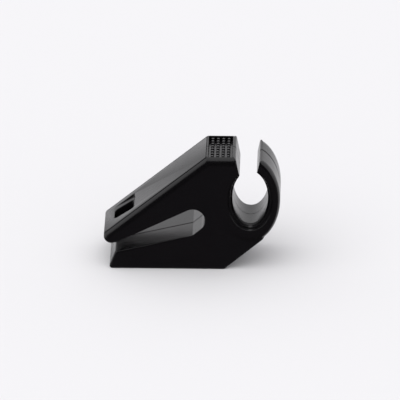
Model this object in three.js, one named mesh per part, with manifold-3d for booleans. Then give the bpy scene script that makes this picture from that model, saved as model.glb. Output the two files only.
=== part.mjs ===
// Rail clip with a jam slot, after a cleat horn: two cored half shells screwed together around a slope cover
// and a thumb pad. Millimetres, +Z up, +X towards the rail hook, -Y the front. The origin is on the base,
// under the middle of the length and of the depth.

import * as THREE from 'three';
import { mergeVertices } from 'three/addons/utils/BufferGeometryUtils.js';
import Module from 'manifold-3d';

const wasm = await Module();
wasm.setup();

// ---------------------------------------------------------------- driving dimensions

const DEPTH = 38.8;               // front face to rear face
const TOP = 73.9;                 // height of the thumb flat
const GAP = 0.3;                  // fitted gap between separate pieces
const EDGE = 1.2;                 // rounding of the outer edges of the front and rear faces
const WALL = 2.6;                 // moulded wall of the shells

const FOOT_LEFT = -51.3;          // foot: lower left corner
const FOOT_SHOULDER = [-47.2, 11.05];
const RAMP_ANGLE = 40.6;          // underside of the hook, rising from the foot

const NOSE = -54.1;               // left end of the arm
const SLOPE_LOW = 22.0;           // height of the slope at the nose
const CREASE = 8.7;               // where the slope meets the thumb flat
const NOSE_RADIUS = 4.6;

const SLOT_EYE = { x: 0.4, z: 32.5, r: 7.5 };   // round inner end of the jam slot
const SLOT_HEEL = { x: 0.3, z: 22.5, angle: 42.5, r: 0.6 };   // corner between the slot's floor and its end
const SLOT_FLOOR_ANGLE = 14;
const SLOT_ROOF_ANGLE = 26.6;

const BORE = { x: 35.4, z: 46.04, rx: 10.9, rz: 17.5 };    // opening that grips the rail
const HOOK = { x: 35.6, z: 45.75, rx: 18.2, rz: 28.4 };    // outside of the hook
const LIP_LEFT = { at: 131, r: 3.5 };                      // lips of the mouth: angle on the bore, radius
const LIP_RIGHT = { at: 63.5, r: 2.2 };
const HOOK_TIP = { at: 66.5, r: 1.25 };
const MOUTH_LEAN = 11;                                     // lean of the mouth's left wall
const RIM = { wide: 3, deep: 5.4 };                        // lead-in around both ends of the rail opening

const COVER = { half: 15.2, thick: 3, block: 5, blockLength: 22.5, flange: 0.9, flangeTop: 1.5, end: 0.5 };
const POCKET = { start: -48.3, end: -35.6, half: 10.4, floor: 0.68, corner: 1.6 };   // wedge recess, cover
const LINE_HOLE = { left: -47.8, right: -36, half: 5.9, corner: 1.8, low: 15.4 };    // through the arm

const PAD = { left: 9.9, right: 24.2, half: 15.2, recess: 4.6, plate: 1.3, flange: 0.8, lip: 1.2 };
const PIP = { columns: 4, rows: 8, pitchX: 3.27, pitchY: 3.6, radius: 0.88, top: 0.4 };

const SCREW = { shank: 1.5, head: 2.8, headHeight: 2, seat: 2.8, length: 21, boss: 3.4 };
const SCREW_SITES = [[-43.5, 5.1], [-27.5, 33], [19.6, 61.2], [15.6, 38], [23.5, 15]];

const PLASTIC = { color: 0x1a181c, roughness: 0.36, metalness: 0 };
const PAD_PLASTIC = { color: 0x222024, roughness: 0.48, metalness: 0 };
const STEEL = { color: 0x9a9a9c, roughness: 0.3, metalness: 1 };

// ---------------------------------------------------------------- plane geometry (x, z)

const rad = THREE.MathUtils.degToRad;
const point = (x, z) => new THREE.Vector2(x, z);
const polar = (x, z, r, degrees) => point(x + r * Math.cos(rad(degrees)), z + r * Math.sin(rad(degrees)));

/** Points of an ellipse arc from one angle to the other, both ends included, about one per `step` degrees. */
function arc(x, z, rx, rz, from, to, step = 8) {
  const count = Math.max(2, Math.round(Math.abs(to - from) / step));
  return Array.from({ length: count + 1 }, (_, i) => {
    const angle = rad(from + (to - from) * i / count);
    return point(x + rx * Math.cos(angle), z + rz * Math.sin(angle));
  });
}

/** The corner between two straight edges as an arc that touches both. */
function rounded(before, corner, after, radius, steps = 4) {
  const a = before.clone().sub(corner).normalize();
  const b = after.clone().sub(corner).normalize();
  const half = Math.acos(THREE.MathUtils.clamp(a.dot(b), -1, 1)) / 2;
  const centre = a.clone().add(b).normalize().multiplyScalar(radius / Math.sin(half)).add(corner);
  const start = a.clone().multiplyScalar(radius / Math.tan(half)).add(corner).sub(centre);
  const end = b.clone().multiplyScalar(radius / Math.tan(half)).add(corner).sub(centre);
  const sweep = Math.atan2(start.cross(end), start.dot(end));
  return Array.from({ length: steps + 1 }, (_, i) =>
    start.clone().rotateAround(new THREE.Vector2(), sweep * i / steps).add(centre));
}

/** A circle that touches an ellipse from outside (side 1) or inside (side -1) at one of its angles. */
function touching(ellipse, { at, r }, side) {
  const angle = rad(at);
  const contact = point(ellipse.x + ellipse.rx * Math.cos(angle), ellipse.z + ellipse.rz * Math.sin(angle));
  const normal = point(Math.cos(angle) / ellipse.rx, Math.sin(angle) / ellipse.rz).normalize();
  const centre = normal.clone().multiplyScalar(side * r).add(contact);
  return { x: centre.x, z: centre.y, r, normal: THREE.MathUtils.radToDeg(normal.angle()) };
}

/** The direction from both circles' centres to their common tangent on the left of the way from a to b. */
function tangentDirection(a, b) {
  const along = Math.atan2(b.z - a.z, b.x - a.x);
  const lean = Math.asin((a.r - b.r) / Math.hypot(b.x - a.x, b.z - a.z));
  return THREE.MathUtils.radToDeg(along + Math.PI / 2 - lean);
}

const slopeRise = (TOP - SLOPE_LOW) / (CREASE - NOSE);
const slopeAngle = THREE.MathUtils.radToDeg(Math.atan(slopeRise));
const slopeZ = (x) => SLOPE_LOW + slopeRise * (x - NOSE);

const roofTouch = polar(SLOT_EYE.x, SLOT_EYE.z, SLOT_EYE.r, 90 + SLOT_ROOF_ANGLE);
const heelTouch = polar(SLOT_EYE.x, SLOT_EYE.z, SLOT_EYE.r, -90 + SLOT_HEEL.angle);
const heel = point(SLOT_HEEL.x, SLOT_HEEL.z);
const roofZ = (x) => roofTouch.y + Math.tan(rad(SLOT_ROOF_ANGLE)) * (x - roofTouch.x);
const floorZ = (x) => heel.y + Math.tan(rad(SLOT_FLOOR_ANGLE)) * (x - heel.x);

/** The side view of the whole body as one closed outline, anticlockwise from the foot. */
function bodyOutline() {
  const rise = Math.tan(rad(RAMP_ANGLE));
  const rampEnd = -THREE.MathUtils.radToDeg(Math.atan2(HOOK.rz, rise * HOOK.rx));
  const hookStart = arc(HOOK.x, HOOK.z, HOOK.rx, HOOK.rz, rampEnd, rampEnd + 1, 1)[0];
  const rampFoot = point(hookStart.x - hookStart.y / rise, 0);
  const footCorner = point(FOOT_LEFT, 0);
  const shoulder = point(...FOOT_SHOULDER);

  const tip = touching(HOOK, HOOK_TIP, -1);
  const lipRight = touching(BORE, LIP_RIGHT, 1);
  const lipLeft = touching(BORE, LIP_LEFT, 1);
  const inner = tangentDirection(lipRight, tip);
  const wallFoot = polar(lipLeft.x, lipLeft.z, lipLeft.r, MOUTH_LEAN);
  const wallTop = point(wallFoot.x - (TOP - wallFoot.y) * Math.tan(rad(MOUTH_LEAN)), TOP);
  const crease = point(CREASE, TOP);
  const slopeEnd = point(NOSE, SLOPE_LOW);
  const noseLow = point(NOSE, roofZ(NOSE));

  return [
    ...rounded(shoulder, footCorner, rampFoot, 1.8),
    ...rounded(footCorner, rampFoot, hookStart, 3),
    ...arc(HOOK.x, HOOK.z, HOOK.rx, HOOK.rz, rampEnd, HOOK_TIP.at, 6),
    ...arc(tip.x, tip.z, tip.r, tip.r, tip.normal, inner, 22).slice(1),
    ...arc(lipRight.x, lipRight.z, lipRight.r, lipRight.r, inner, lipRight.normal + 180, 18),
    ...arc(BORE.x, BORE.z, BORE.rx, BORE.rz, LIP_RIGHT.at, LIP_LEFT.at - 360, 7).slice(1),
    ...arc(lipLeft.x, lipLeft.z, lipLeft.r, lipLeft.r, lipLeft.normal - 180, MOUTH_LEAN, 12).slice(1),
    ...rounded(wallFoot, wallTop, crease, 1.5),
    ...rounded(wallTop, crease, slopeEnd, 1.3, 3),
    ...rounded(crease, slopeEnd, noseLow, 1.4, 3),
    ...rounded(slopeEnd, noseLow, roofTouch, NOSE_RADIUS, 8),
    ...arc(SLOT_EYE.x, SLOT_EYE.z, SLOT_EYE.r, SLOT_EYE.r, 90 + SLOT_ROOF_ANGLE, -90 + SLOT_HEEL.angle, 10),
    ...rounded(heelTouch, heel, shoulder, SLOT_HEEL.r, 2),
    ...rounded(heel, shoulder, footCorner, 1.3),
  ];
}

// ---------------------------------------------------------------- solids

/** A closed three.js geometry as a manifold-3d solid. */
function solid(geometry) {
  const bare = geometry.clone();
  bare.deleteAttribute('normal');
  bare.deleteAttribute('uv');
  const closed = mergeVertices(bare, 1e-4);
  return new wasm.Manifold(new wasm.Mesh({
    numProp: 3,
    vertProperties: new Float32Array(closed.attributes.position.array),
    triVerts: new Uint32Array(closed.index.array),
  }));
}

/** A manifold-3d solid as a named three.js mesh. */
function meshOf(name, body, look) {
  const { vertProperties, triVerts } = body.getMesh();
  const geometry = new THREE.BufferGeometry();
  geometry.setAttribute('position', new THREE.BufferAttribute(vertProperties, 3));
  geometry.setIndex(new THREE.BufferAttribute(triVerts, 1));
  geometry.computeVertexNormals();
  const mesh = new THREE.Mesh(geometry, new THREE.MeshStandardMaterial(look));
  mesh.name = name;
  return mesh;
}

/** An outline in the x-z plane, extruded from one y to another, with its two end faces' edges rounded. */
function prism(outline, yFrom, yTo, edge = 0) {
  const geometry = new THREE.ExtrudeGeometry(new THREE.Shape(outline), {
    depth: yTo - yFrom - 2 * edge,
    bevelEnabled: edge > 0,
    bevelThickness: edge,
    bevelSize: edge,
    bevelOffset: -edge,
    bevelSegments: 3,
  });
  return solid(geometry.rotateX(Math.PI / 2).translate(0, yTo - edge, 0));
}

/** A box between two corners. */
function box(low, high) {
  const size = high.map((value, i) => value - low[i]);
  const middle = high.map((value, i) => (value + low[i]) / 2);
  return solid(new THREE.BoxGeometry(...size).translate(...middle));
}

/** An upright prism over a rectangle with round corners in the x-y plane. */
function uprightSlot(left, right, half, corner, low, high) {
  const ends = [point(left, -half), point(right, -half), point(right, half), point(left, half)];
  const outline = ends.flatMap((end, i) => rounded(ends[(i + 3) % 4], end, ends[(i + 1) % 4], corner, 3));
  const shape = new THREE.Shape(outline);
  const geometry = new THREE.ExtrudeGeometry(shape, { depth: high - low, bevelEnabled: false });
  return solid(geometry.translate(0, 0, low));
}

/** The conical lead-ins that open both ends of the rail opening. */
function boreRims() {
  const ring = arc(BORE.x, BORE.z, BORE.rx, BORE.rz, 0, 360, 7).slice(1);
  const flare = solid(new THREE.ExtrudeGeometry(new THREE.Shape(ring), {
    depth: 2,
    bevelThickness: RIM.deep,
    bevelSize: RIM.wide,
    bevelSegments: 1,
  }));
  const rear = flare.rotate([90, 0, 0]).translate([0, DEPTH / 2 + 2, 0]);
  return rear.add(rear.mirror([0, 1, 0]));
}

/** A cylinder along y around (x, z). */
function crossCylinder(x, z, radius, yFrom, yTo, sides = 20) {
  const geometry = new THREE.CylinderGeometry(radius, radius, yTo - yFrom, sides);
  return solid(geometry.translate(0, (yFrom + yTo) / 2, 0).translate(x, 0, z));
}

const joined = (solids) => solids.reduce((sum, next) => sum.add(next));

// ---------------------------------------------------------------- slope cover

/** The point s along the slope from the nose and n below its surface. */
function onSlope(s, n) {
  const angle = rad(slopeAngle);
  return point(
    NOSE + s * Math.cos(angle) + n * Math.sin(angle),
    SLOPE_LOW + s * Math.sin(angle) - n * Math.cos(angle),
  );
}

/** The height at x of the plane that lies n below the slope. */
const underSlope = (x, n) => slopeZ(x) - n / Math.cos(rad(slopeAngle));

/** Side view of the cover or of its seat: a strip under the slope with a deeper block at the nose. */
function coverStrip(top, grow) {
  const nose = NOSE - 4 * grow;
  const end = CREASE - COVER.end + grow;
  return [
    point(nose, underSlope(nose, top)),
    point(nose, underSlope(nose, COVER.block + grow)),
    onSlope(COVER.blockLength + grow, COVER.block + grow),
    onSlope(COVER.blockLength + 4 + grow, COVER.thick + grow),
    point(end, underSlope(end, COVER.thick + grow)),
    point(end, underSlope(end, top)),
  ];
}

/** The cover's body, or with grow the seat it leaves in the shells: a strip with a flange along each side. */
function coverBody(grow) {
  const half = COVER.half + grow;
  const surface = grow > 0 ? -6 : 0;
  const strip = prism(coverStrip(surface, grow), -half, half);
  const flange = prism(coverStrip(COVER.flangeTop - grow, grow), -half - COVER.flange, half + COVER.flange);
  return strip.add(flange);
}

const lineHole = uprightSlot(
  LINE_HOLE.left, LINE_HOLE.right, LINE_HOLE.half, LINE_HOLE.corner, LINE_HOLE.low, 50,
);

function slopeCover(outside) {
  const floor = (x) => slopeZ(POCKET.start) + POCKET.floor * (x - POCKET.start);
  const wedge = prism([
    point(POCKET.start, floor(POCKET.start)),
    point(POCKET.end, floor(POCKET.end)),
    point(POCKET.end, slopeZ(POCKET.end) + 4),
    point(POCKET.start - 2, slopeZ(POCKET.start) + 4),
    point(POCKET.start - 2, slopeZ(POCKET.start - 2) + 0.01),
  ], -POCKET.half - 1, POCKET.half + 1);
  const plan = uprightSlot(POCKET.start - 6, POCKET.end, POCKET.half, POCKET.corner, 15, 50);
  return coverBody(0).intersect(outside).subtract(wedge.intersect(plan)).subtract(lineHole);
}

// ---------------------------------------------------------------- thumb pad

/** The pad's plate with a flange at each short end, or with grow the seat it leaves in the shells. */
function padPlate(grow) {
  const { left, right, half, recess, plate, flange, lip } = PAD;
  const bottom = TOP - recess - grow;
  const top = grow > 0 ? TOP + 5 : TOP - recess + plate;
  const flangeTop = TOP - recess + plate - lip / 2 + grow;
  const upper = box([left - grow, -half - grow, bottom], [right + grow, half + grow, top]);
  const out = half + flange + grow;
  return upper.add(box([left - grow, -out, bottom], [right + grow, out, flangeTop]));
}

function thumbPad() {
  const low = TOP - PAD.recess + PAD.plate - 0.2;
  const middle = (PAD.left + PAD.right) / 2;
  const pips = [];
  for (let column = 0; column < PIP.columns; column += 1) {
    for (let row = 0; row < PIP.rows; row += 1) {
      const x = middle + (column - (PIP.columns - 1) / 2) * PIP.pitchX;
      const y = (row - (PIP.rows - 1) / 2) * PIP.pitchY;
      const height = TOP - PIP.top - low;
      const pip = new THREE.CylinderGeometry(PIP.radius, PIP.radius, height, 10).rotateX(Math.PI / 2);
      pips.push(solid(pip.translate(x, y, low + height / 2)));
    }
  }
  return padPlate(0).add(joined(pips));
}

// ---------------------------------------------------------------- shells

/** Side views of the hollows that core out each shell, in bays between upright ribs. */
function coreBays() {
  const underCover = (x) => slopeZ(x) - (COVER.thick + GAP + WALL) / Math.cos(rad(slopeAngle));
  const overRoof = (x) => roofZ(x) + WALL / Math.cos(rad(SLOT_ROOF_ANGLE));
  const underFloor = (x) => floorZ(x) - WALL / Math.cos(rad(SLOT_FLOOR_ANGLE));
  const bay = (left, right, low, high) => [
    point(left, low(left)), point(right, low(right)), point(right, high(right)), point(left, high(left)),
  ];
  const level = (z) => () => z;
  const ramp = (x) => Math.max(WALL, (x - 15.5) * Math.tan(rad(RAMP_ANGLE)));
  const underPad = TOP - PAD.recess - GAP - WALL;
  return [
    bay(-22.8, -15.2, overRoof, underCover),
    bay(-13.2, -5.6, overRoof, underCover),
    bay(-3.6, 3, level(SLOT_EYE.z + SLOT_EYE.r + WALL), underCover),
    bay(5, 13, level(46), (x) => Math.min(underCover(x), underPad)),
    bay(-38, -30, level(WALL), underFloor),
    bay(-28, -19.5, level(WALL), underFloor),
    bay(-17.5, -9, level(WALL), underFloor),
    bay(-7, 1.5, level(WALL), underFloor),
    bay(3.5, 12, level(WALL), level(18)),
    bay(14, 18, level(WALL), level(24)),
    bay(27.5, 33.5, ramp, level(25.5)),
    bay(11.8, 19.4, level(46), level(56)),
    bay(11.8, 19.4, level(26), level(32.5)),
  ];
}

/** One half of the body: side -1 is the front shell, side 1 the rear shell. */
function shell(side, body, seats) {
  const half = DEPTH / 2;
  const [low, high] = side < 0 ? [-half - 1, -GAP / 2] : [GAP / 2, half + 1];
  const slab = box([NOSE - 5, low, -5], [60, high, TOP + 5]);
  const ys = side < 0 ? [-half + WALL, 0] : [0, half - WALL];
  const bosses = joined(SCREW_SITES.map(([x, z]) => crossCylinder(x, z, SCREW.boss, -half, half)));
  const cores = joined(coreBays().map((bay) => prism(bay, ...ys))).subtract(bosses);
  const clear = SCREW.shank + GAP;
  const headSeat = half - SCREW.seat - SCREW.headHeight;
  const drills = SCREW_SITES.map(([x, z]) => side < 0
    ? crossCylinder(x, z, clear, headSeat - SCREW.length - 1, 0)
    : crossCylinder(x, z, clear, -1, half).add(crossCylinder(x, z, SCREW.head + GAP, headSeat, half + 1)));
  return body.intersect(slab).subtract(seats).subtract(cores).subtract(joined(drills)).subtract(lineHole);
}

// ---------------------------------------------------------------- screws

/** A pan-head tapping screw along y, its head towards the rear, with a cross recess. */
function screw(x, z) {
  const seat = DEPTH / 2 - SCREW.seat - SCREW.headHeight + GAP;
  const profile = [
    point(0, -SCREW.length),
    point(SCREW.shank * 0.35, -SCREW.length),
    point(SCREW.shank, -SCREW.length + 2.4),
    point(SCREW.shank, 0),
    point(SCREW.head, 0),
    point(SCREW.head, SCREW.headHeight * 0.55),
    point(SCREW.head * 0.72, SCREW.headHeight),
    point(0, SCREW.headHeight),
  ];
  const turned = solid(new THREE.LatheGeometry(profile, 20));
  const depth = SCREW.headHeight * 0.55;
  const cross = [[1.7, 0.28], [0.28, 1.7]].map(([across, along]) =>
    box([-across, SCREW.headHeight - depth, -along], [across, SCREW.headHeight + 1, along]));
  return turned.subtract(joined(cross)).translate([x, seat, z]);
}

// ---------------------------------------------------------------- assembly

const body = prism(bodyOutline(), -DEPTH / 2, DEPTH / 2, EDGE).subtract(boreRims());
const seats = coverBody(GAP).add(padPlate(GAP));

const clip = new THREE.Group();
clip.add(meshOf('front_shell', shell(-1, body, seats), PLASTIC));
clip.add(meshOf('rear_shell', shell(1, body, seats), PLASTIC));
clip.add(meshOf('slope_cover', slopeCover(body), PLASTIC));
clip.add(meshOf('thumb_pad', thumbPad(), PAD_PLASTIC));
SCREW_SITES.forEach(([x, z], i) => clip.add(meshOf(`shell_screw_${i + 1}`, screw(x, z), STEEL)));

export default clip;
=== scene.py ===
"""Looks of the rail clip: two half shells, a slope cover with a line hole, a thumb pad and five screws.

Lengths are millimetres until a mesh is written. +X points to the rail hook, -Y to the front and +Z up.
"""

import math

import bmesh
import bpy
import numpy as np
from mathutils import Matrix, Vector
from mathutils.geometry import delaunay_2d_cdt
from mathutils.kdtree import KDTree


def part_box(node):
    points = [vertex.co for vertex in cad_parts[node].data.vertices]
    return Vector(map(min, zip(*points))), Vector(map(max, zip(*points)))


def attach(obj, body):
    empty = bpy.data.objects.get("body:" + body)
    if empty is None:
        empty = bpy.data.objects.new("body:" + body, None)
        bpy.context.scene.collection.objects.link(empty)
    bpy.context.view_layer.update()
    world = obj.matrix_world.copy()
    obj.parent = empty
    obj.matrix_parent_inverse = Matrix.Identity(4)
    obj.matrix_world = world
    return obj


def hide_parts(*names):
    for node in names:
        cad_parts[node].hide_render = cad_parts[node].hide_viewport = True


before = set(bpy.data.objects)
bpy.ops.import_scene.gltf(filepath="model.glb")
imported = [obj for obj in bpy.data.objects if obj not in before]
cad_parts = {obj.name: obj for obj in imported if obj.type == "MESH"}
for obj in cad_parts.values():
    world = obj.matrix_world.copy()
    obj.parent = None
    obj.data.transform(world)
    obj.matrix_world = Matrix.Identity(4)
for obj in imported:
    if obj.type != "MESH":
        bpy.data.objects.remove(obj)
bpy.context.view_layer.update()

MM = 0.001

# ---------------------------------------------------------------- driving dimensions


def node_box(node):
    """Lowest and highest corner of a CAD node in millimetres."""
    low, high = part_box(node)
    return np.array(low) / MM, np.array(high) / MM


SHELL_LOW, SHELL_HIGH = node_box("front_shell")
COVER_LOW, _ = node_box("slope_cover")
PAD_LOW, PAD_HIGH = node_box("thumb_pad")

HALF = -SHELL_LOW[1]                  # front face to the mid plane
TOP = SHELL_HIGH[2]                   # thumb flat above the base
NOSE = COVER_LOW[0]                   # left end of the arm

# the body's outline in x and z
FOOT_LEFT = -51.3                     # left end of the base
FOOT_SHOULDER = (-47.2, 11.05)        # where the slot's floor meets the foot's end
RAMP_ANGLE = 40.6                     # of the flat between base and hook, in degrees
SLOPE_LOW = 22.0                      # height of the slope's low end
CREASE = 8.7                          # where the slope meets the thumb flat
NOSE_RADIUS = 4.6                     # underside of the nose
SLOT_EYE = (0.4, 32.5, 7.5)           # round end of the slot: centre and radius
SLOT_HEEL = (0.3, 22.5)               # where the slot's floor starts
SLOT_HEEL_ANGLE = 42.5                # where the heel's flat meets the eye, in degrees from straight down
SLOT_ROOF_ANGLE = 26.6                # of the slot's roof, in degrees
BORE = (35.4, 46.04, 10.9, 17.5)      # rail opening: centre and half axes
HOOK = (35.6, 45.75, 18.2, 28.4)      # outside of the hook: centre and half axes
LIP_LEFT = (131, 3.5)                 # lips of the mouth: angle on the opening and radius
LIP_RIGHT = (63.5, 2.2)
HOOK_TIP = (66.5, 1.25)               # angle on the hook's outside and radius
MOUTH_LEAN = 11                       # of the mouth's left wall, in degrees
CORNERS = {"foot": 1.8, "ramp": 3.0, "wall": 1.5, "crease": 0.9, "nose": 1.4, "heel": 0.6, "shoulder": 1.3}

# seams between the pieces
SEAM = 0.25                           # visible gap between fitted pieces
SEAM_EDGE = 0.3                       # rounding of the shells' edges along the cover
MID_GAP = 0.12                        # from the mid plane to each shell
GROOVE_DEPTH = 0.5                    # of the open seam between the shells
GROOVE = 0.2                          # half its width, where GROOVES has no entry
GROOVES = {"hook": 0.62, "tip": 0.45, "bore": 0.15, "floor": 0.38, "eye": 0.38, "roof": 0.3}
CLEAR = 14.0                          # how far the cover's cutters reach past the nose

COVER_HALF = 15.2                     # half width of the cover's visible strip
COVER_GAP = 1.0                       # open seam along its long edges
COVER_END = 0.5                       # from its upper end to the crease
COVER_THICK = 1.6                     # thickness of the strip
COVER_EDGE = 0.5                      # rounding of its edges
BLOCK_DEPTH, BLOCK_LENGTH = 5.0, 22.5  # the cover's deeper end, at the nose
BLOCK_GAP = 0.2
POCKET_START, POCKET_END, POCKET_HALF = -48.3, -35.6, 10.4
POCKET_RISE = 0.68                    # slope of the pocket's floor
POCKET_CORNER = 1.6
HOLE_LEFT, HOLE_RIGHT, HOLE_HALF = -47.8, -36.0, 5.9
HOLE_CORNER = 1.8
HOLE_LOW = 15.4                       # lower end of the line hole's cut

PAD_HALF = 15.2
PAD_CORNER = 0.5
PAD_PLATE = 1.3                       # thickness
PAD_RECESS = 3.3                      # thumb flat down to the pad's floor
PAD_EDGE = 0.4                        # rounding of the recess
PIPS = (4, 8)                         # columns and rows
PIP_PITCH = (3.27, 3.6)
PIP_RADIUS = 0.88
PIP_EDGE = 0.35                       # rounding of a pip's crown

SCREW_SITES = [(-43.5, 5.1), (-27.5, 33), (19.6, 61.2), (15.6, 38), (23.5, 15)]
SCREW_HEAD = 2.8                      # radius of the head
SCREW_SHANK = 1.5                     # radius of the shank
COUNTERBORE = (SCREW_HEAD + 0.35, 5.2)  # radius and depth
COUNTERBORE_EDGE = 0.4
CROSS = (1.7, 0.28, 1.3)              # recess: half length and half width of an arm, and depth

# ---------------------------------------------------------------- plane geometry (x, z)


def polar(x, z, r, degrees):
    """The point at an angle on a circle."""
    return np.array([x + r * math.cos(math.radians(degrees)), z + r * math.sin(math.radians(degrees))])


def arc(x, z, rx, rz, start, end, step=3.0):
    """Points along an ellipse's arc, ends included."""
    count = max(2, round(abs(end - start) / step))
    angles = np.radians(np.linspace(start, end, count + 1))
    return np.stack([x + rx * np.cos(angles), z + rz * np.sin(angles)], 1)


def unit(v):
    return v / np.linalg.norm(v)


def rounded(before, corner, after, radius, steps=10):
    """The corner between two straight edges as an arc that touches both."""
    a = unit(before - corner)
    b = unit(after - corner)
    half = math.acos(np.clip(a @ b, -1, 1)) / 2
    centre = corner + unit(a + b) * radius / math.sin(half)
    start = corner + a * radius / math.tan(half) - centre
    end = corner + b * radius / math.tan(half) - centre
    sweep = math.atan2(start[0] * end[1] - start[1] * end[0], start @ end)
    angles = sweep * np.linspace(0, 1, steps + 1)
    swept = [[math.cos(t) * start[0] - math.sin(t) * start[1],
              math.sin(t) * start[0] + math.cos(t) * start[1]] for t in angles]
    return centre + np.array(swept)


def touching(ellipse, at, r, side):
    """Centre and normal angle of a circle that touches an ellipse from outside (1) or inside (-1)."""
    x, z, rx, rz = ellipse
    angle = math.radians(at)
    contact = np.array([x + rx * math.cos(angle), z + rz * math.sin(angle)])
    normal = unit(np.array([math.cos(angle) / rx, math.sin(angle) / rz]))
    return contact + side * r * normal, math.degrees(math.atan2(normal[1], normal[0]))


def tangent_direction(a, ra, b, rb):
    """Normal angle, in degrees, of the line that touches two circles on the same side."""
    along = math.atan2(b[1] - a[1], b[0] - a[0])
    lean = math.asin((ra - rb) / np.linalg.norm(b - a))
    return math.degrees(along + math.pi / 2 - lean)


SLOPE_RISE = (TOP - SLOPE_LOW) / (CREASE - NOSE)
SLOPE_ANGLE = math.atan(SLOPE_RISE)
roof_touch = polar(*SLOT_EYE, 90 + SLOT_ROOF_ANGLE)
heel_touch = polar(*SLOT_EYE, -90 + SLOT_HEEL_ANGLE)


def slope_z(x):
    return SLOPE_LOW + SLOPE_RISE * (x - NOSE)


def on_slope(s, n):
    """The point s along the slope from the nose and n above its surface, in x and z."""
    return np.array([
        NOSE + s * math.cos(SLOPE_ANGLE) - n * math.sin(SLOPE_ANGLE),
        SLOPE_LOW + s * math.sin(SLOPE_ANGLE) + n * math.cos(SLOPE_ANGLE),
    ])


def body_stretches():
    """The outline's round stretches, anticlockwise from the foot: edge, points, edge up to the next one."""
    rise = math.tan(math.radians(RAMP_ANGLE))
    ramp_end = -math.degrees(math.atan2(HOOK[3], rise * HOOK[2]))
    hook_start = arc(*HOOK, ramp_end, ramp_end + 1, 1)[0]
    ramp_foot = np.array([hook_start[0] - hook_start[1] / rise, 0.0])
    foot_corner = np.array([FOOT_LEFT, 0.0])
    shoulder = np.array(FOOT_SHOULDER)
    tip, tip_normal = touching(HOOK, *HOOK_TIP, -1)
    lip_right, right_normal = touching(BORE, *LIP_RIGHT, 1)
    lip_left, left_normal = touching(BORE, *LIP_LEFT, 1)
    inner = tangent_direction(lip_right, LIP_RIGHT[1], tip, HOOK_TIP[1])
    wall_foot = polar(*lip_left, LIP_LEFT[1], MOUTH_LEAN)
    lean = math.tan(math.radians(MOUTH_LEAN))
    wall_top = np.array([wall_foot[0] - (TOP - wall_foot[1]) * lean, TOP])
    crease = np.array([CREASE, TOP])
    slope_end = np.array([NOSE, SLOPE_LOW])
    roof_slope = math.tan(math.radians(SLOT_ROOF_ANGLE))
    nose_low = np.array([NOSE, roof_touch[1] + roof_slope * (NOSE - roof_touch[0])])
    heel = np.array(SLOT_HEEL)
    return [
        ("base", rounded(shoulder, foot_corner, ramp_foot, CORNERS["foot"]), "base"),
        ("base", rounded(foot_corner, ramp_foot, hook_start, CORNERS["ramp"]), "ramp"),
        ("hook", arc(*HOOK, ramp_end, HOOK_TIP[0], 2), "hook"),
        ("tip", arc(*tip, HOOK_TIP[1], HOOK_TIP[1], tip_normal, inner, 12), "mouth"),
        ("mouth", arc(*lip_right, LIP_RIGHT[1], LIP_RIGHT[1], inner, right_normal + 180, 9), "mouth"),
        ("bore", arc(*BORE, LIP_RIGHT[0], LIP_LEFT[0] - 360, 2.5), "bore"),
        ("mouth", arc(*lip_left, LIP_LEFT[1], LIP_LEFT[1], left_normal - 180, MOUTH_LEAN, 7), "mouth"),
        ("mouth", rounded(wall_foot, wall_top, crease, CORNERS["wall"]), "top"),
        ("top", rounded(wall_top, crease, slope_end, CORNERS["crease"], 5), "top"),
        ("top", rounded(crease, slope_end, nose_low, CORNERS["nose"], 8), "nose"),
        ("nose", rounded(slope_end, nose_low, roof_touch, NOSE_RADIUS, 12), "roof"),
        ("eye", arc(*SLOT_EYE, SLOT_EYE[2], 90 + SLOT_ROOF_ANGLE, -90 + SLOT_HEEL_ANGLE, 4), "eye"),
        ("eye", rounded(heel_touch, heel, shoulder, CORNERS["heel"], 3), "floor"),
        ("foot", rounded(heel, shoulder, foot_corner, CORNERS["shoulder"], 8), "foot"),
    ]


def body_outline(longest=0.8):
    """The outline's points, evenly dense, each with the name of the edge that starts there."""
    points, names = [], []
    stretches = body_stretches()
    for (name, stretch, link), (_, following, _) in zip(stretches, stretches[1:] + stretches[:1]):
        ends = [*stretch[1:], following[0]]
        labels = [name] * (len(stretch) - 1) + [link]
        for start, end, label in zip(stretch, ends, labels):
            distance = np.linalg.norm(end - start)
            if distance < 1e-6:
                continue
            pieces = max(1, math.ceil(distance / longest))
            points += [start + (end - start) * k / pieces for k in range(pieces)]
            names += [label] * pieces
    return np.array(points), names


def inward_normals(outline):
    """The direction into the body at each point of its outline."""
    tangent = np.roll(outline, -1, 0) - np.roll(outline, 1, 0)
    tangent /= np.linalg.norm(tangent, axis=1)[:, None]
    return np.stack([-tangent[:, 1], tangent[:, 0]], 1)


def segment_distance(points, starts, ends, batch=1500):
    """Distance from each point to the nearest of the segments."""
    best = np.full(len(points), 1e9)
    along = ends - starts
    lengths = np.maximum((along ** 2).sum(1), 1e-12)
    for first in range(0, len(points), batch):
        block = points[first:first + batch]
        offset = block[:, None, :] - starts[None]
        share = np.clip((offset * along[None]).sum(2) / lengths[None], 0, 1)
        gap = offset - share[..., None] * along[None]
        best[first:first + batch] = np.sqrt((gap ** 2).sum(2).min(1))
    return best


def inside(points, outline):
    """Whether each point lies inside a closed outline."""
    ends = np.roll(outline, -1, 0)
    result = np.zeros(len(points), bool)
    for (x0, z0), (x1, z1) in zip(outline, ends):
        if z0 == z1:
            continue
        crosses = (points[:, 1] < z0) != (points[:, 1] < z1)
        at = x0 + (points[:, 1] - z0) * (x1 - x0) / (z1 - z0)
        result ^= crosses & (points[:, 0] < at)
    return result


# ---------------------------------------------------------------- the moulded face

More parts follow.
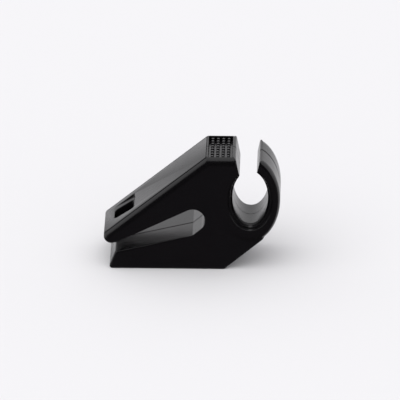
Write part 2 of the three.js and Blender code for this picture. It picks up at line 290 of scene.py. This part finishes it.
# rounding of the face's edges: how far it drops behind the face, and how far in from the edge it starts
FILLETS = {
    "top": (4.8, 4.8),
    "hook": (4.6, 4.6),
    "tip": (2.2, 2.4),
    "nose": (1.8, 1.8),
    "roof": (0.35, 0.4),
    "eye": (0.35, 0.4),
    "floor": (1.1, 1.4),
    "mouth": (1.6, 1.6),
    "foot": (2.0, 2.4),
    "ramp": (1.2, 1.4),
    "base": (0.4, 0.5),
}
REAR_FILLETS = {**FILLETS, "hook": (9.0, 6.0), "tip": (4.0, 3.0), "mouth": (3.5, 3.0)}
FLOOR_TAPER = 26.0                    # length over which the slot floor's edge sharpens towards the heel
# the face is dished round the rail opening: depth there, where it starts to rise, its reach and softness
DISH_DEPTH, DISH_START, DISH_REACH, DISH_SOFT = 0.95, 2.0, 10.0, 0.7
# power that joins the roundings and the dish: the deepest one at a point prevails, softly
BLEND = 3.0
# stepped lead-in at both ends of the rail opening: distance out from the wall, depth behind the face
RIM = [
    (-0.5, 6.6), (0.3, 5.95), (0.75, 5.4), (1.15, 4.9), (1.28, 4.6), (1.33, 3.1), (1.45, 2.85),
    (2.4, 2.65), (2.55, 2.45), (2.62, 1.5), (2.75, 1.15), (3.05, 0.9), (3.4, -3),
]
# how far in from the outline the face's points lie
RINGS = [
    0.04, 0.12, 0.25, 0.45, 0.7, 1.0, 1.3, 1.65, 2.0, 2.4, 2.8, 3.3, 3.8, 4.4, 5.1,
    6.0, 7.0, 8.0, 8.8, 9.4, 10.0, 10.8,
]
RING_SPACING = 0.42                   # between the points of a ring at the edge
RING_GROWTH = 0.16                    # added to it for each millimetre further in
RING_CLOSEST = 0.13                   # clearance between the points of different rings is based on this
GRID = 2.4                            # between the points of the flat middle
GRID_SHIFT = 0.6                      # sets neighbouring points of the grid apart


def dish_depth(distance):
    """Depth of the dished face at a distance from the rail opening, its outer bend softened."""
    grid = np.linspace(0, DISH_REACH + 2, 400)
    share = np.clip((grid - DISH_START) / (DISH_REACH - DISH_START), 0, 1)
    raw = DISH_DEPTH * (1 - share ** 2)
    taps = round(DISH_SOFT / (grid[1] - grid[0]))
    soft = np.convolve(np.pad(raw, taps, mode="edge"), np.ones(2 * taps + 1) / (2 * taps + 1), "valid")
    return np.interp(distance, grid, soft)


def face_depth(points, outline, names, fillets):
    """How far behind the front plane the moulded face lies at each point."""
    ends = np.roll(outline, -1, 0)
    labels = np.array(names)
    total = np.zeros(len(points))
    for name, (drop, run) in fillets.items():
        chosen = labels == name
        near = np.clip(1 - segment_distance(points, outline[chosen], ends[chosen]) / run, 0, 1)
        depth = drop * (1 - np.sqrt(1 - near ** 2))
        if name == "floor":
            depth *= np.clip((SLOT_HEEL[0] - points[:, 0]) / FLOOR_TAPER, 0, 1)
        total += depth ** BLEND
    chosen = labels == "bore"
    total += dish_depth(segment_distance(points, outline[chosen], ends[chosen])) ** BLEND
    return total ** (1 / BLEND)


def ring_points(outline):
    """Points on rings inside the outline, wider apart further in, none of them close to an earlier ring's."""
    ends = np.roll(outline, -1, 0)
    inward = inward_normals(outline)
    kept = []
    for ring in RINGS:
        spacing = RING_SPACING + RING_GROWTH * ring
        clearance = min(spacing, 0.6 * min(ring, RING_CLOSEST))
        candidates = outline + inward * ring
        # a point that another stretch of the outline is nearer to would lie on a wrong ring
        candidates = candidates[segment_distance(candidates, outline, ends) > ring * 0.985]
        tree = KDTree(max(1, len(kept)))
        for i, p in enumerate(kept):
            tree.insert((p[0], p[1], 0), i)
        tree.balance()
        fresh = []
        for p in candidates:
            if kept and tree.find((p[0], p[1], 0))[2] < clearance:
                continue
            if fresh and np.linalg.norm(p - fresh[-1]) < spacing:
                continue
            fresh.append(p)
        kept += fresh
    return kept


def grid_points(outline):
    """A loose grid over what lies further in than the last ring."""
    low, high = outline.min(0), outline.max(0)
    columns, rows = np.meshgrid(np.arange(low[0], high[0], GRID), np.arange(low[1], high[1], GRID))
    grid = np.stack([columns, rows], -1).reshape(-1, 2)
    grid[:, 0] += np.where(np.arange(len(grid)) % 2, GRID_SHIFT, -GRID_SHIFT)
    deep = segment_distance(grid, outline, np.roll(outline, -1, 0)) > RINGS[-1] + GRID / 2
    return list(grid[inside(grid, outline) & deep])


def face_mesh(outline):
    """Triangles of the face in x and z: points, triangles, and the given points each point stands for."""
    points = [*outline, *ring_points(outline), *grid_points(outline)]
    count = len(outline)
    edges = [(i, (i + 1) % count) for i in range(count)]
    coords, _, faces, origin, _, _ = delaunay_2d_cdt([Vector(p) for p in points], edges, [], 1, 1e-5)
    return np.array([tuple(c) for c in coords]), faces, origin


# ---------------------------------------------------------------- mesh helpers


def mesh_object(name, vertices, faces):
    """A mesh object from vertices in millimetres, its faces turned outwards."""
    mesh = bpy.data.meshes.new(name)
    mesh.from_pydata([tuple(float(c) * MM for c in v) for v in vertices], [], [tuple(f) for f in faces])
    work = bmesh.new()
    work.from_mesh(mesh)
    bmesh.ops.remove_doubles(work, verts=work.verts, dist=1e-7)
    bmesh.ops.recalc_face_normals(work, faces=work.faces)
    work.to_mesh(mesh)
    work.free()
    piece = bpy.data.objects.new(name, mesh)
    bpy.context.scene.collection.objects.link(piece)
    return piece


def shade(piece, angle):
    """Smooth shading, with edges sharper than the angle in degrees kept."""
    piece.data.shade_smooth()
    piece.data.set_sharp_from_angle(angle=math.radians(angle))


def loft(name, loops):
    """A closed solid through loops that all have the same number of points, capped at both ends."""
    count = len(loops[0])
    vertices = [p for loop in loops for p in loop]
    faces = [list(range(count))[::-1], list(range(len(vertices) - count, len(vertices)))]
    for k in range(len(loops) - 1):
        for i in range(count):
            j = (i + 1) % count
            faces.append([k * count + i, k * count + j, (k + 1) * count + j, (k + 1) * count + i])
    return mesh_object(name, vertices, faces)


def turned(name, x, z, profile, steps):
    """A solid turned about the line through x and z that runs along y, from (radius, y) pairs."""
    loops = []
    for r, y in profile:
        angles = [2 * math.pi * k / steps for k in range(steps)]
        loops.append([(x + r * math.cos(t), y, z + r * math.sin(t)) for t in angles])
    return loft(name, loops)


def cut(piece, cutters):
    """Cuts the cutters from a piece and removes them."""
    for cutter in cutters:
        modifier = piece.modifiers.new("cut", "BOOLEAN")
        modifier.object = cutter
        modifier.operation = "DIFFERENCE"
        modifier.solver = "EXACT"
    graph = bpy.context.evaluated_depsgraph_get()
    mesh = bpy.data.meshes.new_from_object(piece.evaluated_get(graph))
    piece.modifiers.clear()
    piece.data = mesh
    for cutter in cutters:
        bpy.data.objects.remove(cutter)


def bevel_edges(piece, width, segments, chosen):
    """Rounds the edges for which chosen(angle in degrees, middle in millimetres) is true."""
    work = bmesh.new()
    work.from_mesh(piece.data)
    edges = []
    for edge in work.edges:
        if len(edge.link_faces) != 2:
            continue
        angle = math.degrees(edge.calc_face_angle(0))
        middle = (edge.verts[0].co + edge.verts[1].co) / 2 / MM
        if chosen(angle, middle):
            edges.append(edge)
    bmesh.ops.bevel(work, geom=edges, offset=width * MM, segments=segments, profile=0.5, affect="EDGES",
                    clamp_overlap=True, loop_slide=True)
    work.to_mesh(piece.data)
    work.free()


def corner_loop(left, right, half, radius, steps=6):
    """A rectangle with round corners in the x-y plane, anticlockwise."""
    ends = [np.array(p, float) for p in ((left, -half), (right, -half), (right, half), (left, half))]
    return np.concatenate([rounded(ends[i - 1], ends[i], ends[(i + 1) % 4], radius, steps) for i in range(4)])


def quarter(radius, steps=4):
    """(grow, drop) pairs of a round edge, from its foot on the wall to its crest on the surface."""
    angles = np.linspace(0, math.pi / 2, steps + 1)
    return [(radius * (1 - math.cos(t)), radius * (1 - math.sin(t))) for t in angles]


# ---------------------------------------------------------------- cutters


def upright_cutter(name, left, right, half, radius, floor, surface, edge):
    """Cuts a level-topped recess whose mouth has a round edge. surface and floor are heights."""
    loops = [[(x, y, floor) for x, y in corner_loop(left, right, half, radius)]]
    for grow, drop in quarter(edge):
        loop = corner_loop(left - grow, right + grow, half + grow, radius + grow)
        loops.append([(x, y, surface - drop) for x, y in loop])
    loops.append([(x, y, surface + 4) for x, y, _ in loops[-1]])
    return loft(name, loops)


def cover_seat_cutter():
    """The seat of the slope cover: a shallow tray along the slope, open past the nose."""
    half = COVER_HALF + COVER_GAP
    end = (CREASE - COVER_END + SEAM - NOSE) / math.cos(SLOPE_ANGLE)
    levels = [(-COVER_THICK - 0.1, 0.0)]
    levels += [(-drop, grow) for grow, drop in quarter(SEAM_EDGE)]
    levels.append((9.0, SEAM_EDGE))
    loops = []
    for n, grow in levels:
        loop = []
        for s, side in ((-CLEAR, -1), (end + grow, -1), (end + grow, 1), (-CLEAR, 1)):
            x, z = on_slope(s, n)
            loop.append((x, side * (half + grow), z))
        loops.append(loop)
    return loft("cover_seat_cutter", loops)


def cover_block_cutter():
    """The deeper end of the cover's seat, under the pocket."""
    half = COVER_HALF + SEAM
    low, end = -BLOCK_DEPTH - BLOCK_GAP, BLOCK_LENGTH + BLOCK_GAP
    profile = [on_slope(-CLEAR, 1), on_slope(-CLEAR, low), on_slope(end, low), on_slope(end, 1)]
    return loft("cover_block_cutter", [[(x, y, z) for x, z in profile] for y in (-half, half)])


def rim_cutter(side):
    """The stepped lead-in at one end of the rail opening."""
    x, z, rx, rz = BORE
    angles = np.radians(np.arange(0, 360, 3))
    wall = np.stack([x + rx * np.cos(angles), z + rz * np.sin(angles)], 1)
    normals = np.stack([np.cos(angles) / rx, np.sin(angles) / rz], 1)
    normals /= np.linalg.norm(normals, axis=1)[:, None]
    loops = []
    for out, depth in RIM:
        loops.append([(px, side * (HALF - depth), pz) for px, pz in wall + normals * out])
    return loft("rim_cutter", loops)


def screw_bore_cutter(x, z):
    """A screw's counterbore in the rear face, with a round edge."""
    radius, depth = COUNTERBORE
    profile = [(radius, HALF - depth)]
    profile += [(radius + grow, HALF - drop) for grow, drop in quarter(COUNTERBORE_EDGE)]
    profile.append((radius + COUNTERBORE_EDGE, HALF + 3))
    return turned("screw_bore_cutter", x, z, profile, 32)


# ---------------------------------------------------------------- pieces


def shell_block(name, side, outline, names, face, fillets):
    """The moulded face, the wall behind it down to the mid seam's groove, and the mating plane."""
    coords, triangles, origin = face
    depth = face_depth(coords, outline, names, fillets)
    vertices = [(x, side * (HALF - t), z) for (x, z), t in zip(coords, depth)]
    faces = [list(f) for f in triangles]
    count = len(outline)
    previous = [None] * count
    for i, sources in enumerate(origin):
        for source in sources:
            if source < count:
                previous[source] = i
    edge_depth = np.array([depth[i] for i in previous])
    groove = np.array([GROOVES.get(label, GROOVE) for label in names])
    inward = inward_normals(outline)
    # distance of each wall ring from the mid plane, and how far it is set in
    levels = [
        (HALF - edge_depth - 0.25, 0.0),
        (np.full(count, HALF / 2), 0.0),
        (groove + 0.1, 0.0),
        (groove, 0.08),
        (groove, GROOVE_DEPTH),
        (np.full(count, MID_GAP), GROOVE_DEPTH),
    ]
    for heights, inset in levels:
        base = len(vertices)
        moved = outline + inward * inset
        vertices += [(x, side * y, z) for (x, z), y in zip(moved, heights)]
        current = list(range(base, base + count))
        for i in range(count):
            j = (i + 1) % count
            faces.append([previous[i], previous[j], current[j], current[i]])
        previous = current
    faces.append(previous)
    return mesh_object(name, vertices, faces)


def shell(name, side, outline, names, face, fillets):
    """One half shell with the seats of the other pieces cut in it. side: -1 for the front, 1 for the rear."""
    piece = shell_block(name, side, outline, names, face, fillets)
    cutters = [
        cover_seat_cutter(),
        cover_block_cutter(),
        rim_cutter(side),
        upright_cutter("pad_seat_cutter", PAD_LOW[0] - SEAM, PAD_HIGH[0] + SEAM, PAD_HALF + SEAM, PAD_CORNER,
                       TOP - PAD_RECESS - PAD_PLATE - 0.3, TOP, PAD_EDGE),
        upright_cutter("line_hole_cutter", HOLE_LEFT, HOLE_RIGHT, HOLE_HALF, HOLE_CORNER, HOLE_LOW, 50, 0.3),
    ]
    if side > 0:
        cutters += [screw_bore_cutter(x, z) for x, z in SCREW_SITES]
    cut(piece, cutters)
    shade(piece, 38)
    return piece


def slope_cover():
    """The cover: a strip along the slope with a deeper end that holds the wedge pocket and the line hole."""
    end = CREASE - COVER_END
    under = COVER_THICK / math.cos(SLOPE_ANGLE)
    upper = np.array([end, slope_z(end)])
    nose_round = rounded(upper, np.array([NOSE, SLOPE_LOW]), np.array([NOSE, 0.0]), CORNERS["nose"], 8)
    profile = [
        upper,
        *nose_round,
        np.array([NOSE, SLOPE_LOW - 4.0]),
        on_slope(0, -BLOCK_DEPTH),
        on_slope(BLOCK_LENGTH, -BLOCK_DEPTH),
        on_slope(BLOCK_LENGTH, -COVER_THICK),
        upper - (0, under),
    ]
    piece = loft("slope_cover_skin", [[(x, y, z) for x, z in profile] for y in (-COVER_HALF, COVER_HALF)])
    # the pocket's floor is less steep than the slope, so it leaves the surface and is deepest at its end wall
    pocket = corner_loop(POCKET_START - 6, POCKET_END, POCKET_HALF, POCKET_CORNER)
    pocket_floor = [(x, y, slope_z(POCKET_START) + POCKET_RISE * (x - POCKET_START)) for x, y in pocket]
    hole = corner_loop(HOLE_LEFT, HOLE_RIGHT, HOLE_HALF, HOLE_CORNER)
    cut(piece, [
        loft("pocket_cutter", [pocket_floor, [(x, y, 60.0) for x, y in pocket]]),
        loft("hole_cutter", [[(x, y, z) for x, y in hole] for z in (8, 60)]),
    ])

    def below_crease(angle, middle):
        return angle > 32 and middle.x < CREASE - 2

    bevel_edges(piece, COVER_EDGE, 3, below_crease)
    shade(piece, 32)
    return piece


def add_pip(work, x, y, profile, steps=20):
    """One round pip as a closed body of its own, from (radius, height) pairs."""
    rings = []
    for r, z in profile:
        ring = []
        for k in range(steps):
            t = 2 * math.pi * k / steps
            ring.append(work.verts.new(Vector((x + r * math.cos(t), y + r * math.sin(t), z)) * MM))
        rings.append(ring)
    for low_ring, high_ring in zip(rings, rings[1:]):
        for k in range(steps):
            m = (k + 1) % steps
            work.faces.new([low_ring[k], low_ring[m], high_ring[m], high_ring[k]])
    work.faces.new(rings[-1])
    work.faces.new(rings[0][::-1])


def thumb_pad():
    """The pad: a plate in the recess with rows of round pips."""
    left, right = PAD_LOW[0], PAD_HIGH[0]
    floor = TOP - PAD_RECESS
    crown = PAD_HIGH[2]
    plate = corner_loop(left, right, PAD_HALF, PAD_CORNER, 3)
    piece = loft("thumb_pad_skin", [[(x, y, z) for x, y in plate] for z in (floor - PAD_PLATE, floor)])
    profile = [
        (PIP_RADIUS + 0.35, floor - 0.02),
        (PIP_RADIUS + 0.12, floor + 0.1),
        (PIP_RADIUS + 0.02, floor + 0.35),
    ]
    profile += [(PIP_RADIUS - grow, crown - drop) for grow, drop in quarter(PIP_EDGE)]
    work = bmesh.new()
    work.from_mesh(piece.data)
    for column in range(PIPS[0]):
        for row in range(PIPS[1]):
            x = (left + right) / 2 + (column - (PIPS[0] - 1) / 2) * PIP_PITCH[0]
            y = (row - (PIPS[1] - 1) / 2) * PIP_PITCH[1]
            add_pip(work, x, y, profile)
    bmesh.ops.recalc_face_normals(work, faces=work.faces)
    work.to_mesh(piece.data)
    work.free()
    shade(piece, 40)
    return piece


def screw(index, x, z):
    """A pan-head screw with a cross recess, its head towards the rear."""
    node = f"shell_screw_{index}"
    low, high = node_box(node)
    point, crown = low[1], high[1]
    seat = crown - 2.0
    profile = [
        (0.5, point),
        (SCREW_SHANK, point + 2.4),
        (SCREW_SHANK, seat),
        (SCREW_HEAD - 0.15, seat),
        (SCREW_HEAD, seat + 0.15),
        (SCREW_HEAD, seat + 0.9),
        (SCREW_HEAD * 0.93, seat + 1.35),
        (SCREW_HEAD * 0.75, seat + 1.75),
        (SCREW_HEAD * 0.4, crown - 0.03),
        (SCREW_HEAD * 0.15, crown),
    ]
    piece = turned(node + "_skin", x, z, profile, 40)
    long, short, depth = CROSS
    taper = 0.35
    cutters = []
    for across, along in ((long, short), (short, long)):
        corners = [(-across, -along), (across, -along), (across, along), (-across, along)]
        low_along = taper if across > along else 1
        low_loop = [(x + a * taper, crown - depth, z + b * low_along) for a, b in corners]
        cutters.append(loft("cross_cutter", [low_loop, [(x + a, crown + 1, z + b) for a, b in corners]]))
    cut(piece, cutters)
    shade(piece, 30)
    return piece


# ---------------------------------------------------------------- materials


def new_material(name):
    """A material with its node tree, shader and the object's own coordinates."""
    material = bpy.data.materials.new(name)
    material.use_nodes = True
    tree = material.node_tree
    return material, tree, tree.nodes["Principled BSDF"], tree.nodes.new("ShaderNodeTexCoord")


def noise(tree, place, scale, detail):
    """Soft noise over the object."""
    cloud = tree.nodes.new("ShaderNodeTexNoise")
    cloud.inputs["Scale"].default_value = scale
    cloud.inputs["Detail"].default_value = detail
    tree.links.new(place.outputs["Object"], cloud.inputs["Vector"])
    return cloud.outputs["Fac"]


def tint(tree, factor, dark, light, target):
    """A colour that goes from dark to light with the factor."""
    mix = tree.nodes.new("ShaderNodeMix")
    mix.data_type = "RGBA"
    mix.inputs["A"].default_value = (*dark, 1)
    mix.inputs["B"].default_value = (*light, 1)
    tree.links.new(factor, mix.inputs["Factor"])
    tree.links.new(mix.outputs["Result"], target)


def spread(tree, factor, source, result, target):
    """A value that goes over the result's range as the factor goes over the source's."""
    scale = tree.nodes.new("ShaderNodeMapRange")
    for label, value in zip(("From Min", "From Max", "To Min", "To Max"), (*source, *result)):
        scale.inputs[label].default_value = value
    tree.links.new(factor, scale.inputs["Value"])
    tree.links.new(scale.outputs["Result"], target)


def plastic(name, color, roughness, unevenness, bump, specular=0.5):
    """Moulded plastic: slightly uneven colour and gloss, and a fine grain."""
    material, tree, shader, place = new_material(name)
    shader.inputs["Specular IOR Level"].default_value = specular
    cloud = noise(tree, place, 90, 6)
    tint(tree, cloud, [c * 0.8 for c in color], [c * 1.25 for c in color], shader.inputs["Base Color"])
    gloss = (roughness - unevenness, roughness + unevenness)
    spread(tree, cloud, (0.3, 0.7), gloss, shader.inputs["Roughness"])
    relief = tree.nodes.new("ShaderNodeBump")
    relief.inputs["Strength"].default_value = bump
    relief.inputs["Distance"].default_value = 0.00003
    tree.links.new(noise(tree, place, 2600, 3), relief.inputs["Height"])
    tree.links.new(relief.outputs["Normal"], shader.inputs["Normal"])
    return material


def steel(name):
    """Bright steel with uneven colour and gloss."""
    material, tree, shader, place = new_material(name)
    shader.inputs["Metallic"].default_value = 1
    cloud = noise(tree, place, 400, 4)
    tint(tree, cloud, (0.42, 0.42, 0.43), (0.62, 0.62, 0.63), shader.inputs["Base Color"])
    spread(tree, cloud, (0, 1), (0.2, 0.4), shader.inputs["Roughness"])
    return material


def dress(piece, material, node):
    """Gives a piece its material, and puts it in the place of a CAD node."""
    piece.data.materials.clear()
    piece.data.materials.append(material)
    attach(piece, "root")
    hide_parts(node)


# ---------------------------------------------------------------- assembly

shell_plastic = plastic("shell_plastic", (0.0024, 0.0020, 0.0026), 0.24, 0.03, 0.10)
cover_plastic = plastic("cover_plastic", (0.0028, 0.0023, 0.0031), 0.27, 0.03, 0.12)
pad_plastic = plastic("pad_plastic", (0.0035, 0.003, 0.004), 0.27, 0.04, 0.12, 0.65)
screw_steel = steel("screw_steel")

outline, names = body_outline()
face = face_mesh(outline)
for node, side, fillets in (("front_shell", -1, FILLETS), ("rear_shell", 1, REAR_FILLETS)):
    half_shell = shell(node + "_skin", side, outline, names, face, fillets)
    dress(half_shell, shell_plastic, node)
dress(slope_cover(), cover_plastic, "slope_cover")
dress(thumb_pad(), pad_plastic, "thumb_pad")
for number, (site_x, site_z) in enumerate(SCREW_SITES, 1):
    dress(screw(number, site_x, site_z), screw_steel, f"shell_screw_{number}")

# ---------------------------------------------------------------- stage

FLOOR_COLOR = (0.72, 0.716, 0.724)


def stage_plane(name, corners, material):
    """A flat stage piece, in metres."""
    mesh = bpy.data.meshes.new(name)
    mesh.from_pydata(corners, [], [range(len(corners))])
    mesh.materials.append(material)
    piece = bpy.data.objects.new(name, mesh)
    bpy.context.scene.collection.objects.link(piece)
    return piece


def pale_floor():
    """The pale matt floor."""
    material, _, shader, _ = new_material("floor")
    shader.inputs["Base Color"].default_value = (*FLOOR_COLOR, 1)
    shader.inputs["Roughness"].default_value = 0.9
    shader.inputs["Specular IOR Level"].default_value = 0
    stage_plane("floor", [(-6, -6, 0), (6, -6, 0), (6, 6, 0), (-6, 6, 0)], material)


def reflection_card(name, half, near, far, color):
    """An evenly shining card seen only in reflections. near and far are the (y, z) of its two long edges."""
    material = bpy.data.materials.new(name)
    material.use_nodes = True
    tree = material.node_tree
    glow = tree.nodes.new("ShaderNodeEmission")
    glow.inputs["Color"].default_value = (*color, 1)
    glow.inputs["Strength"].default_value = 1.0
    tree.links.new(glow.outputs["Emission"], tree.nodes["Material Output"].inputs["Surface"])
    corners = [(-half, *near), (half, *near), (half, *far), (-half, *far)]
    card = stage_plane(name, corners, material)
    card.visible_camera = False
    card.visible_diffuse = False
    card.visible_shadow = False
    card.visible_transmission = False


pale_floor()
# what the front of the object mirrors: a dark wall, dark floor, and a less dark strip of floor close by
reflection_card("front_card", 2.5, (-1.4, 0.0), (-1.3, 2.3), (0.02, 0.02, 0.02))
reflection_card("front_floor_card", 0.5, (-0.26, 0.0005), (-0.0199, 0.0005), (0.088, 0.08, 0.09))
reflection_card("far_floor_card", 2.5, (-1.4, 0.0004), (-0.26, 0.0004), (0.02, 0.02, 0.02))

lamp = bpy.data.lights.new("overhead", "SUN")
lamp.energy = 1.05
lamp.angle = math.radians(70)
overhead = bpy.data.objects.new("overhead", lamp)
bpy.context.scene.collection.objects.link(overhead)
overhead.rotation_euler = (math.radians(18), math.radians(-16), 0)
overhead.visible_glossy = False

world = bpy.data.worlds.new("studio")
bpy.context.scene.world = world
world.use_nodes = True
sky = world.node_tree.nodes["Background"]
sky.inputs["Color"].default_value = (0.985, 0.98, 1.0, 1)
sky.inputs["Strength"].default_value = 1.0

# ---------------------------------------------------------------- camera

AIM = np.array([0.0, 0.0, 0.037])     # metres, as below
DISTANCE = 4.888
AZIMUTH, ELEVATION = -1.34, 25.0      # degrees from straight in front, and above level
LENS = 717.9
OFFSET = (0.00444, 0.00051)           # slides the camera right and up

azimuth, elevation = math.radians(AZIMUTH), math.radians(ELEVATION)
forward = np.array([
    math.sin(azimuth) * math.cos(elevation),
    math.cos(azimuth) * math.cos(elevation),
    -math.sin(elevation),
])
right = np.array([math.cos(azimuth), -math.sin(azimuth), 0])
up = np.cross(right, forward)
lens = bpy.data.cameras.new("camera")
lens.lens = LENS
lens.sensor_width = 36
lens.clip_start, lens.clip_end = 0.05, 60
camera = bpy.data.objects.new("camera", lens)
bpy.context.scene.collection.objects.link(camera)
camera.location = AIM - forward * DISTANCE + right * OFFSET[0] + up * OFFSET[1]
camera.rotation_mode = "QUATERNION"
camera.rotation_quaternion = Matrix((right, up, -forward)).transposed().to_quaternion()
bpy.context.scene.camera = camera
bpy.context.scene.view_settings.view_transform = "Standard"
